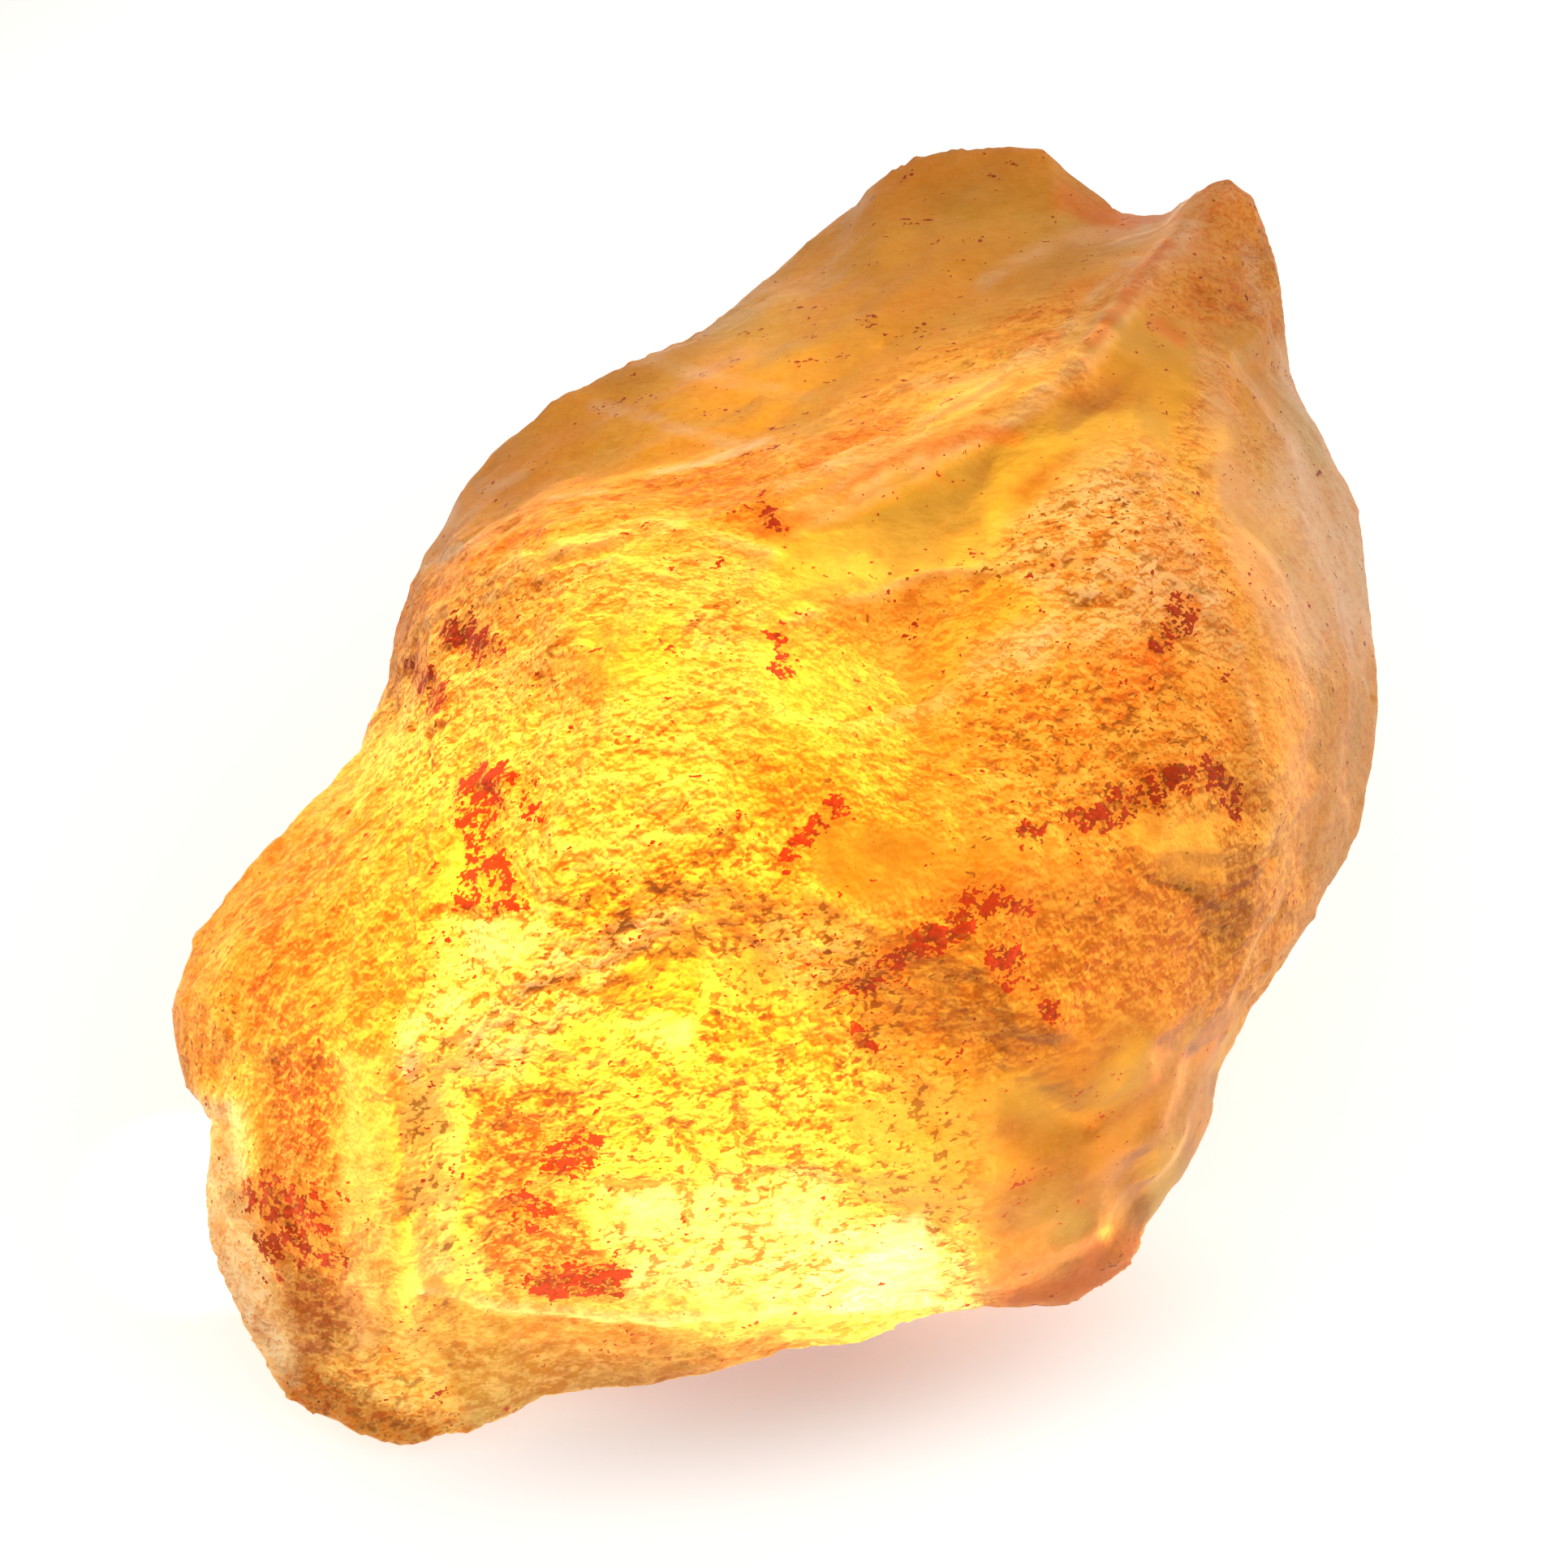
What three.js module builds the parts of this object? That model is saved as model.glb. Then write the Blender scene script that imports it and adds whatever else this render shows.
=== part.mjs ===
// A rough yellow sapphire, one broken and weathered crystal lying on its flattest side.
// Millimetres, +Z up, long axis along +Y, origin under the middle of the stone on the table.
//
// The stone is sketched square-on to its broad face, which leans back from the table. Every point
// of the sketch is [across, up, height]: across to the right and up the broad face as it is seen
// from VIEW_SLOPE above the table, and height above the table. Crests, creases and the outline are
// lists of such points. The faces between them are filled in by a Delaunay triangulation, once for
// the upper side and once for the underside, and the two sides meet at the outline.

import * as THREE from 'three';
import { ImprovedNoise } from 'three/addons/math/ImprovedNoise.js';

// ---- driving dimensions -------------------------------------------------------------------

const STONE_SCALE = 1;                       // 1 gives a stone about 19 mm long
const VIEW_SLOPE = THREE.MathUtils.degToRad(55);   // the broad face is sketched from this angle
const SKETCH_HEIGHT = 4.5;                   // height of the sketch's centre above the table
const YAW = THREE.MathUtils.degToRad(32);    // turns the long axis onto +Y

const FACET_EDGE = 0.62;                     // no triangle edge of the finished stone is longer
const ROUNDING_PASSES = 1;                   // worn edges: passes of smoothing over the fine mesh
const ROUNDING = 0.3;                        // share of the way to the neighbours' mean per pass

const LUMP_SIZE = 2.6;                       // width of the broad swellings
const LUMP_RELIEF = 0.12;
const LEDGE_SPACING = 1.1;                   // growth ledges that step across the crystal
const LEDGE_RELIEF = 0.09;
const LEDGE_CLIMB = new THREE.Vector3(0.35, -0.5, 0.8);   // the way the ledges climb
const LEDGE_SLOPE = 0.3;                     // share of a ledge's spacing taken by its step
const LEDGE_WANDER = 0.9;                    // how far the ledges stray, in spacings
const WANDER_SIZE = 3.5;
const CHIP_SIZE = 1.1;                       // small chipped hollows
const CHIP_RELIEF = 0.12;
const CHIP_THRESHOLD = 0.15;                 // noise below this leaves the surface unchipped
const NOISE_START = new THREE.Vector3(7.3, 2.1, 5.7);     // picks this stone's own relief
const SOLE_MARGIN = 0.7;                     // below this height the relief dies out

// ---- the sketch ---------------------------------------------------------------------------

const outline = [
  [1.6, 7.75, 5.0], [2.2, 7.9, 5.1], [3.25, 8.05, 5.2], [3.6, 7.55, 5.0], [3.95, 7.35, 4.8],
  [4.2, 7.05, 4.7], [4.75, 7.0, 5.0], [5.05, 7.35, 5.5], [5.5, 7.5, 5.7], [5.85, 7.25, 5.4],
  [6.1, 6.5, 5.0], [6.15, 5.6, 4.7], [6.3, 4.95, 4.5], [6.65, 4.2, 4.3], [7.0, 3.3, 4.2],
  [7.2, 2.5, 4.2], [7.25, 1.4, 3.9], [7.25, 0.5, 3.6], [7.1, -0.7, 3.3], [6.6, -1.45, 3.0],
  [6.1, -2.25, 2.9], [5.65, -2.9, 2.9], [5.3, -3.6, 2.7], [5.2, -4.15, 2.4], [4.85, -4.9, 2.0],
  [4.4, -5.5, 1.8], [4.3, -6.0, 1.5], [3.5, -6.45, 1.2], [2.4, -6.5, 1.0], [1.6, -6.6, 0.9],
  [0.9, -6.95, 0.9], [0.1, -6.95, 0.8], [-0.9, -7.25, 0.6], [-2.0, -7.45, 0.5],
  [-3.0, -7.6, 0.4], [-3.55, -7.95, 0.35], [-4.75, -8.25, 0.3], [-5.4, -8.05, 0.35],
  [-6.15, -7.65, 0.5], [-6.6, -6.7, 1.2], [-6.95, -5.8, 1.8], [-7.05, -4.9, 2.2],
  [-6.95, -4.1, 2.6], [-7.35, -3.8, 2.7], [-7.5, -2.8, 3.1], [-7.2, -2.0, 3.7],
  [-6.6, -1.1, 4.3], [-5.9, -0.3, 4.6], [-5.3, 0.4, 4.5], [-4.85, 1.2, 4.3],
  [-4.75, 2.0, 4.2], [-4.5, 2.7, 4.4], [-4.0, 3.6, 4.8], [-3.35, 4.3, 5.1],
  [-2.9, 4.7, 5.2], [-2.0, 5.1, 5.0], [-1.0, 5.65, 4.5], [-0.25, 6.25, 4.2],
  [0.55, 7.0, 4.4], [1.1, 7.5, 4.8],
];

const upperSide = {
  farFlank: [[-2.4, 4.3, 5.5], [-1.2, 4.8, 5.6], [0.1, 5.5, 5.6], [1.2, 6.2, 5.5], [2.4, 6.9, 5.3],
    [3.3, 7.0, 5.2]],
  valley: [[-4.05, 3.0, 5.4], [-3.25, 3.3, 5.9], [-2.65, 3.6, 6.1], [-1.65, 3.85, 6.3],
    [-0.45, 4.15, 6.4], [0.85, 4.75, 6.3], [1.85, 5.2, 6.2], [2.85, 5.85, 6.0], [3.65, 6.45, 5.6],
    [4.3, 6.85, 5.1]],
  spikeRidge: [[5.45, 7.25, 5.9], [4.95, 6.9, 6.0], [4.4, 6.2, 6.7], [3.75, 5.35, 7.3],
    [2.85, 4.7, 7.7], [1.85, 4.15, 7.9], [0.85, 3.75, 8.1], [-0.1, 3.4, 8.2]],
  lumpRim: [[-4.3, 1.95, 6.3], [-3.65, 2.5, 7.0], [-2.85, 2.95, 7.7], [-2.05, 3.15, 8.0],
    [-1.0, 3.1, 8.2]],
  lumpTop: [[-3.5, 1.2, 7.6], [-2.65, 1.7, 8.5], [-1.6, 1.9, 8.9], [-2.05, 0.7, 9.0],
    [-0.85, 1.1, 8.9], [-3.6, 0.0, 7.7], [-2.6, -0.3, 8.6], [-1.4, -0.2, 8.9]],
  leftShoulder: [[-4.3, 1.0, 6.7], [-4.6, 0.1, 6.5], [-5.2, -0.8, 6.0], [-5.6, -1.5, 5.7]],
  oliveBand: [[1.35, 3.2, 8.0], [0.35, 2.75, 8.2], [2.35, 3.45, 7.8]],
  scar: [[0.0, 2.2, 8.4], [1.3, 2.4, 8.2], [2.5, 2.5, 8.1], [0.2, 1.1, 8.4], [1.3, 1.45, 7.9],
    [1.6, 0.8, 8.2], [2.9, 1.6, 8.2]],
  hump: [[3.3, 4.15, 7.8], [4.1, 3.95, 7.9], [4.6, 3.45, 7.8], [3.3, 2.9, 8.2], [4.2, 2.6, 8.1],
    [4.3, 1.85, 7.9]],
  mustardFacet: [[4.4, 4.95, 7.0], [5.0, 5.3, 6.6], [4.8, 4.3, 7.2]],
  spikeBack: [[5.3, 6.6, 5.9], [5.3, 5.1, 6.6], [5.45, 4.1, 6.9], [5.9, 5.6, 5.8],
    [6.1, 4.4, 5.8]],
  rightCrest: [[5.15, 2.9, 7.6], [5.6, 2.0, 7.4], [5.85, 1.0, 7.1], [5.9, 0.15, 6.8],
    [5.8, -0.75, 6.3], [5.65, -1.6, 5.6], [5.45, -2.4, 4.8], [5.25, -3.1, 3.9]],
  rightFlank: [[6.3, 3.3, 6.0], [6.5, 2.2, 6.0], [6.7, 1.0, 5.5], [6.6, -0.1, 5.0],
    [6.25, -1.0, 4.6]],
  plateau: [[2.4, 0.2, 8.2], [3.8, 0.7, 7.8], [4.85, 0.2, 7.5], [4.4, -0.9, 7.2],
    [2.9, -0.9, 7.9], [0.6, 0.0, 8.6], [1.4, -0.7, 8.3]],
  frontCrest: [[-4.65, -1.4, 6.8], [-4.2, -1.55, 7.1], [-3.3, -1.65, 7.6], [-2.6, -1.4, 8.1],
    [-1.85, -1.1, 8.4], [-0.65, -1.25, 8.3], [0.35, -1.55, 8.1], [1.35, -1.85, 7.8],
    [2.35, -2.3, 7.3], [3.25, -3.0, 6.5], [4.35, -3.2, 5.5]],
  endRidge: [[-4.55, -2.65, 6.5], [-4.75, -3.35, 6.0], [-4.7, -4.85, 4.7], [-4.45, -5.95, 3.4],
    [-4.65, -6.85, 2.0], [-4.7, -7.6, 0.8]],
  endFace: [[-5.65, -2.85, 5.5], [-5.45, -4.35, 4.5], [-5.65, -5.85, 3.0], [-6.35, -4.85, 3.5],
    [-6.15, -6.35, 2.0], [-5.6, -7.2, 1.1]],
  lobe: [[-6.6, -2.15, 4.9], [-7.1, -2.75, 4.1], [-6.35, -3.35, 4.5], [-6.65, -4.0, 3.7]],
  frontFace: [[-3.4, -2.7, 7.0], [-2.65, -3.25, 6.6], [-0.65, -3.3, 6.4], [0.95, -3.3, 6.2],
    [2.35, -3.4, 6.1], [-3.45, -4.85, 4.6], [-1.65, -4.85, 4.7], [0.35, -4.75, 4.8],
    [2.45, -4.85, 4.5]],
  bevelTop: [[-4.45, -6.25, 3.0], [-3.25, -6.35, 2.6], [-1.65, -6.4, 2.5], [-0.15, -6.45, 2.4],
    [1.35, -6.3, 2.3], [2.4, -6.2, 2.2]],
  cornerFace: [[3.85, -4.35, 4.4], [4.55, -4.5, 3.5], [3.75, -5.55, 2.7]],
};

const underSide = {
  sole: [[-4.7, -7.7, 0], [-3.6, -7.5, 0], [-1.6, -6.8, 0], [0.6, -5.8, 0], [2.2, -4.2, 0],
    [2.9, -2.2, 0], [2.5, -0.4, 0], [1.0, 0.4, 0], [-1.0, -0.3, 0], [-3.0, -2.2, 0],
    [-4.5, -4.4, 0], [-5.4, -6.6, 0]],
  frontBelly: [[3.2, -5.7, 0.7], [4.1, -5.5, 1.0], [4.8, -4.3, 1.4]],
  rightBelly: [[5.4, -2.6, 1.6], [6.3, -1.2, 2.0], [6.8, 0.4, 2.3], [6.3, 2.2, 2.4],
    [4.4, -1.5, 0.7], [4.6, 0.6, 0.9]],
  farBelly: [[5.6, 4.4, 2.9], [5.4, 6.4, 3.7], [4.7, 5.3, 2.6], [3.1, 6.9, 3.5],
    [3.6, 5.8, 2.7], [2.3, 6.1, 2.6], [0.8, 5.9, 2.4], [3.9, 3.2, 1.1], [2.2, 3.9, 1.3],
    [2.3, 1.8, 0.4]],
  leftBelly: [[-1.2, 4.7, 2.8], [-2.9, 3.8, 3.0], [-4.2, 2.0, 2.9], [-4.5, 0.6, 2.3],
    [-5.2, -1.0, 2.4], [-6.4, -2.6, 2.2], [-6.5, -4.5, 1.4], [-0.6, 2.9, 1.3],
    [-2.4, 1.3, 1.2], [-3.9, -0.6, 1.2], [-5.3, -3.6, 0.7]],
};

// ---- from the sketch to solid points ---------------------------------------------------------

// A sketch point in space. Seen from VIEW_SLOPE above the table, a higher point shows further up
// the sketch than a low one, so the same "up" at a greater height lies nearer the viewer.
function placed([across, up, height]) {
  const back = (up - (height - SKETCH_HEIGHT) * Math.cos(VIEW_SLOPE)) / Math.sin(VIEW_SLOPE);
  return new THREE.Vector3(across, back, height);
}

function isInsideOutline(x, y) {
  let inside = false;
  outline.forEach(([ax, ay], i) => {
    const [bx, by] = outline[(i + 1) % outline.length];
    if ((ay > y) !== (by > y) && x < ax + ((y - ay) / (by - ay)) * (bx - ax)) inside = !inside;
  });
  return inside;
}

// Centre and squared radius of the circle through three sketch points.
function circleThrough(a, b, c) {
  const d = 2 * (a[0] * (b[1] - c[1]) + b[0] * (c[1] - a[1]) + c[0] * (a[1] - b[1]));
  const [aa, bb, cc] = [a, b, c].map((p) => p[0] * p[0] + p[1] * p[1]);
  const x = (aa * (b[1] - c[1]) + bb * (c[1] - a[1]) + cc * (a[1] - b[1])) / d;
  const y = (aa * (c[0] - b[0]) + bb * (a[0] - c[0]) + cc * (b[0] - a[0])) / d;
  return { x, y, r2: (a[0] - x) ** 2 + (a[1] - y) ** 2 };
}

// Delaunay triangulation of sketch points, one point at a time, kept to the inside of the outline.
// Triangles come back as index triples running counter-clockwise in the sketch.
function triangulate(points) {
  const far = 1000;
  const all = [...points, [-far, -far], [far, -far], [0, far]];
  const n = points.length;
  const corner = (...ids) => ({ ids, circle: circleThrough(...ids.map((i) => all[i])) });
  let triangles = [corner(n, n + 1, n + 2)];
  points.forEach(([x, y], index) => {
    const hit = ({ circle }) => (x - circle.x) ** 2 + (y - circle.y) ** 2 < circle.r2;
    const removed = triangles.filter(hit);
    const rim = new Map();
    for (const { ids } of removed) {
      for (let k = 0; k < 3; k++) {
        const [a, b] = [ids[k], ids[(k + 1) % 3]];
        if (!rim.delete(`${b},${a}`)) rim.set(`${a},${b}`, [a, b]);
      }
    }
    triangles = triangles.filter((triangle) => !hit(triangle));
    for (const [a, b] of rim.values()) triangles.push(corner(a, b, index));
  });
  const centre = (ids, axis) => ids.reduce((sum, i) => sum + all[i][axis], 0) / 3;
  return triangles.map(({ ids }) => ids)
    .filter((ids) => ids.every((i) => i < n) && isInsideOutline(centre(ids, 0), centre(ids, 1)));
}

// One closed surface from the two sides, as points and outward-facing triangles.
function closedSurface() {
  const upper = [...outline, ...Object.values(upperSide).flat()];
  const lower = [...outline, ...Object.values(underSide).flat()];
  const rim = outline.length;
  const toWhole = (i) => (i < rim ? i : i + upper.length - rim);
  const points = [...upper, ...lower.slice(rim)].map(placed);
  const upperFaces = triangulate(upper);
  const lowerFaces = triangulate(lower).map(([a, b, c]) => [toWhole(a), toWhole(c), toWhole(b)]);
  return { points, faces: [...upperFaces, ...lowerFaces] };
}

// ---- from facets to weathered stone ------------------------------------------------------------

// Halves every edge longer than the limit, again and again, so that neighbours always agree.
function splitLongEdges({ points, faces }, limit) {
  const middles = new Map();
  const middle = (a, b) => {
    const key = a < b ? `${a},${b}` : `${b},${a}`;
    if (points[a].distanceTo(points[b]) <= limit) return null;
    if (!middles.has(key)) {
      middles.set(key, points.length);
      points.push(points[a].clone().lerp(points[b], 0.5));
    }
    return middles.get(key);
  };
  const finer = [];
  for (const [a, b, c] of faces) {
    const cut = [middle(a, b), middle(b, c), middle(c, a)];
    const corners = [a, b, c];
    const count = cut.filter((m) => m !== null).length;
    if (count === 0) {
      finer.push([a, b, c]);
    } else if (count === 3) {
      finer.push([a, cut[0], cut[2]], [cut[0], b, cut[1]], [cut[2], cut[1], c], cut);
    } else {
      // Turn the triangle so that its first edge is cut, and its last is not when two are cut.
      const turn = [0, 1, 2].find((k) => cut[k] !== null && cut[(k + 2) % 3] === null);
      const [p, q, r] = [0, 1, 2].map((k) => corners[(k + turn) % 3]);
      const [first, second] = [cut[turn], cut[(turn + 1) % 3]];
      if (second === null) {
        finer.push([p, first, r], [first, q, r]);
      } else if (points[p].distanceTo(points[second]) < points[first].distanceTo(points[r])) {
        finer.push([first, q, second], [p, first, second], [p, second, r]);
      } else {
        finer.push([first, q, second], [first, second, r], [p, first, r]);
      }
    }
  }
  return middles.size ? splitLongEdges({ points, faces: finer }, limit) : { points, faces };
}

const isOnSole = (point) => point.z === 0;

// Fills the flat sole with a fan round its middle, inside the edge that the other faces leave open.
function closeSole({ points, faces }) {
  const edges = faces.flatMap(([a, b, c]) => [[a, b], [b, c], [c, a]]);
  const known = new Set(edges.map(([a, b]) => `${a},${b}`));
  const open = edges.filter(([a, b]) => !known.has(`${b},${a}`));
  const middle = new THREE.Vector3();
  open.forEach(([a]) => middle.addScaledVector(points[a], 1 / open.length));
  points.push(middle);
  open.forEach(([a, b]) => faces.push([b, a, points.length - 1]));
}

// Moves every point part of the way to the mean of its neighbours; the sole stays on the table.
function roundEdges({ points, faces }) {
  const neighbours = points.map(() => new Set());
  for (const [a, b, c] of faces) {
    neighbours[a].add(b).add(c);
    neighbours[b].add(a).add(c);
    neighbours[c].add(a).add(b);
  }
  const moved = points.map((point, i) => {
    const mean = new THREE.Vector3();
    neighbours[i].forEach((j) => mean.add(points[j]));
    mean.divideScalar(neighbours[i].size);
    if (isOnSole(point)) mean.z = 0;
    return point.clone().lerp(mean, ROUNDING);
  });
  points.forEach((point, i) => point.copy(moved[i]));
}

const noise = new ImprovedNoise();

// Smooth noise between about -1 and 1, with swellings of the given size.
function swelling(p, size) {
  const { x, y, z } = p.clone().divideScalar(size).add(NOISE_START);
  return noise.noise(x, y, z);
}

// Ledges climb across the crystal in soft-edged steps that wander with the swellings.
function ledge(p) {
  const along = p.dot(LEDGE_CLIMB) / LEDGE_SPACING + LEDGE_WANDER * swelling(p, WANDER_SIZE);
  const part = along - Math.floor(along);
  return THREE.MathUtils.smoothstep(part, 0, LEDGE_SLOPE) - part;
}

// Chips are hollows only: where the noise runs high, the surface is pushed in.
function chip(p) {
  return -Math.max(0, swelling(p, CHIP_SIZE) - CHIP_THRESHOLD);
}

// Pushes the surface out and in along its normals, and leaves the flat sole as it is.
function weather(geometry) {
  const positions = geometry.attributes.position;
  const normals = geometry.attributes.normal;
  const p = new THREE.Vector3();
  const n = new THREE.Vector3();
  for (let i = 0; i < positions.count; i++) {
    p.fromBufferAttribute(positions, i);
    n.fromBufferAttribute(normals, i);
    const relief = LUMP_RELIEF * swelling(p, LUMP_SIZE) + LEDGE_RELIEF * ledge(p)
      + CHIP_RELIEF * chip(p);
    p.addScaledVector(n, relief * THREE.MathUtils.smoothstep(p.z, 0, SOLE_MARGIN));
    p.z = Math.max(p.z, 0);
    positions.setXYZ(i, p.x, p.y, p.z);
  }
}

function stoneGeometry() {
  const { points, faces } = closedSurface();
  const weathered = faces.filter((face) => !face.every((i) => isOnSole(points[i])));
  const surface = splitLongEdges({ points, faces: weathered }, FACET_EDGE);
  for (let pass = 0; pass < ROUNDING_PASSES; pass++) roundEdges(surface);
  closeSole(surface);
  const geometry = new THREE.BufferGeometry();
  geometry.setAttribute('position', new THREE.Float32BufferAttribute(
    surface.points.flatMap(({ x, y, z }) => [x, y, z]), 3));
  geometry.setIndex(surface.faces.flat());
  geometry.computeVertexNormals();
  weather(geometry);
  geometry.rotateZ(YAW);
  geometry.scale(STONE_SCALE, STONE_SCALE, STONE_SCALE);
  geometry.computeBoundingBox();
  const middle = geometry.boundingBox.getCenter(new THREE.Vector3());
  geometry.translate(-middle.x, -middle.y, -geometry.boundingBox.min.z);
  geometry.deleteAttribute('normal');
  return geometry;
}

// ---- the part --------------------------------------------------------------------------------

const honeySapphire = new THREE.MeshStandardMaterial({
  color: 0xf2a034,
  roughness: 0.4,
  metalness: 0,
});

const sapphire = new THREE.Mesh(stoneGeometry(), honeySapphire);
sapphire.name = 'sapphire';

const part = new THREE.Group();
part.add(sapphire);

export default part;
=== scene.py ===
"""A rough yellow sapphire on a pale table: its weathered surface, its clear honey-coloured
material, the camera and the light. Lengths are in mm until a mesh or a light is placed."""

import itertools
import math

import bpy
import numpy as np
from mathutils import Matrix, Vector


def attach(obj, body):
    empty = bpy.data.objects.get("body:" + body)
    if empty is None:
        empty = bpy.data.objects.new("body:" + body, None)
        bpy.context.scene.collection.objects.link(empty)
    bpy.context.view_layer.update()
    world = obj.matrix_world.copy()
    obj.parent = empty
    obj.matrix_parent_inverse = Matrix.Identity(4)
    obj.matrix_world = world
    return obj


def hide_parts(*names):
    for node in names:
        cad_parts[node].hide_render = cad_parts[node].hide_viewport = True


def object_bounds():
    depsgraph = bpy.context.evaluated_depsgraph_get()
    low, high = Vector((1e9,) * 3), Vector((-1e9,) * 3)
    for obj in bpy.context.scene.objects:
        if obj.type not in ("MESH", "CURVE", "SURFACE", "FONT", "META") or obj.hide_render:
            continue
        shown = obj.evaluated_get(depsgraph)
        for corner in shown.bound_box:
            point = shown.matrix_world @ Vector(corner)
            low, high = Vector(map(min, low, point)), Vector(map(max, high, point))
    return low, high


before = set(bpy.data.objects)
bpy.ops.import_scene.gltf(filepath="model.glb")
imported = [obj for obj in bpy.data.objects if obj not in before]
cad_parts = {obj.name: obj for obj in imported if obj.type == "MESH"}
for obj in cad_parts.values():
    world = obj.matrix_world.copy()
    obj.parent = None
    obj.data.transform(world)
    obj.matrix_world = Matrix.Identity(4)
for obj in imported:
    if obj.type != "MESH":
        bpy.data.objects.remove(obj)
cad_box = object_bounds()

MM = 0.001

# ---- camera ---------------------------------------------------------------------------------

PHOTO_SIZE = 1932                       # the picture is square, this many pixels a side
CAMERA_AZIMUTH = math.radians(32)       # 0 looks along +Y
CAMERA_ELEVATION = math.radians(55)
CAMERA_DISTANCE = 250.0                 # from the aim
CAMERA_AIM = np.array([-0.473, -0.633, 4.3])
PICTURE_WIDTH = 19.21                   # across the picture at the aim
SENSOR_WIDTH = 36.0

sin_az, cos_az = math.sin(CAMERA_AZIMUTH), math.cos(CAMERA_AZIMUTH)
sin_el, cos_el = math.sin(CAMERA_ELEVATION), math.cos(CAMERA_ELEVATION)
VIEW_RIGHT = np.array([cos_az, sin_az, 0.0])
VIEW_UP = np.array([-sin_az * sin_el, cos_az * sin_el, cos_el])
VIEW_BACK = np.array([sin_az * cos_el, -cos_az * cos_el, sin_el])


def make_camera():
    data = bpy.data.cameras.new("camera")
    data.sensor_width = SENSOR_WIDTH
    data.lens = SENSOR_WIDTH * CAMERA_DISTANCE / PICTURE_WIDTH
    data.clip_start = 0.01
    data.clip_end = 5.0
    camera = bpy.data.objects.new("camera", data)
    back = Vector(VIEW_BACK)
    camera.location = (Vector(CAMERA_AIM) + back * CAMERA_DISTANCE) * MM
    camera.rotation_euler = (-back).to_track_quat("-Z", "Y").to_euler()
    bpy.context.scene.collection.objects.link(camera)
    bpy.context.scene.camera = camera


def to_pixels(points):
    """Where points show in the picture, as pixels in the PHOTO_SIZE frame."""
    offset = points - CAMERA_AIM
    scale = PHOTO_SIZE / PICTURE_WIDTH * CAMERA_DISTANCE / (CAMERA_DISTANCE - offset @ VIEW_BACK)
    return np.stack([PHOTO_SIZE / 2 + offset @ VIEW_RIGHT * scale,
                     PHOTO_SIZE / 2 - offset @ VIEW_UP * scale], axis=1)


# ---- noise ----------------------------------------------------------------------------------

random = np.random.default_rng(11)
SHUFFLE = np.tile(random.permutation(256), 2)
DIRECTIONS = random.normal(size=(256, 3))
DIRECTIONS /= np.linalg.norm(DIRECTIONS, axis=1, keepdims=True)
SCATTER = random.random((256, 3))


def smoothstep(value, low, high):
    t = np.clip((value - low) / (high - low), 0, 1)
    return t * t * (3 - 2 * t)


def lookup(cell):
    """A fixed random number from 0 to 255 for every whole-numbered place in space."""
    x, y, z = (cell & 255).T
    return SHUFFLE[SHUFFLE[SHUFFLE[x] + y] + z]


def noise(points, size, start=0.0):
    """Smooth noise from about -1 to 1, with lumps of the given size."""
    place = points / size + start
    cell = np.floor(place).astype(int)
    part = place - cell
    fade = part ** 3 * (part * (part * 6 - 15) + 10)
    total = np.zeros(len(place))
    for corner in itertools.product((0, 1), repeat=3):
        slope = (part - corner) * DIRECTIONS[lookup(cell + corner)]
        total += slope.sum(axis=1) * np.where(corner, fade, 1 - fade).prod(axis=1)
    return 1.6 * total


def cells(points, size, start=0.0):
    """Distance to the nearest scattered point, in sizes, and a fixed random number for it."""
    place = points / size + start
    cell = np.floor(place).astype(int)
    nearest = np.full(len(place), 9.0)
    number = np.zeros(len(place))
    for corner in itertools.product((-1, 0, 1), repeat=3):
        spot = lookup(cell + corner)
        away = np.linalg.norm(cell + corner + SCATTER[spot] - place, axis=1)
        number = np.where(away < nearest, spot / 255, number)
        nearest = np.minimum(nearest, away)
    return nearest, number


def flakes(points, size, start=0.0):
    """Height of small tilted tiles from about -1 to 1, and how near each point is to an edge."""
    place = points / size + start
    cell = np.floor(place).astype(int)
    first = np.full(len(place), 9.0)
    second = first.copy()
    height = np.zeros(len(place))
    for corner in itertools.product((-1, 0, 1), repeat=3):
        spot = lookup(cell + corner)
        offset = place - (cell + corner + SCATTER[spot])
        away = np.linalg.norm(offset, axis=1)
        tile = (SCATTER[spot, 0] - 0.5) + (offset * DIRECTIONS[spot]).sum(axis=1)
        height = np.where(away < first, tile, height)
        second = np.clip(away, first, second)
        first = np.minimum(first, away)
    return height, 1 - smoothstep(second - first, 0.03, 0.25)


# ---- colours --------------------------------------------------------------------------------

# Base colours. Light that passes through the surface is tinted by their square root.
HONEY = (0.96, 0.62, 0.15)
GOLD = (1.0, 0.88, 0.28)
TAN = (0.95, 0.52, 0.06)
COPPER = (0.84, 0.33, 0.02)
OLIVE_TAN = (0.76, 0.51, 0.085)
MUSTARD = (0.80, 0.54, 0.03)
OLIVE = (0.52, 0.50, 0.11)
PEACH = (1.0, 0.70, 0.36)
VEIL = (1.0, 0.80, 0.58)
ORANGE = (0.93, 0.40, 0.04)
AMBER = (0.76, 0.15, 0.012)
CARAMEL = (0.36, 0.11, 0.003)
DEEP_HONEY = (0.26, 0.09, 0.003)
DEEP_ORANGE = (0.44, 0.075, 0.015)
END_ORANGE = (0.33, 0.045, 0.006)
CLAY = (0.85, 0.40, 0.20)
DARK_GOLD = (0.50, 0.25, 0.015)
LEMON = (1.0, 0.92, 0.45)
STRAW = (1.0, 0.96, 0.60)
CREAM = (1.0, 1.0, 0.85)
WHITE = (1.0, 1.0, 1.0)
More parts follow.
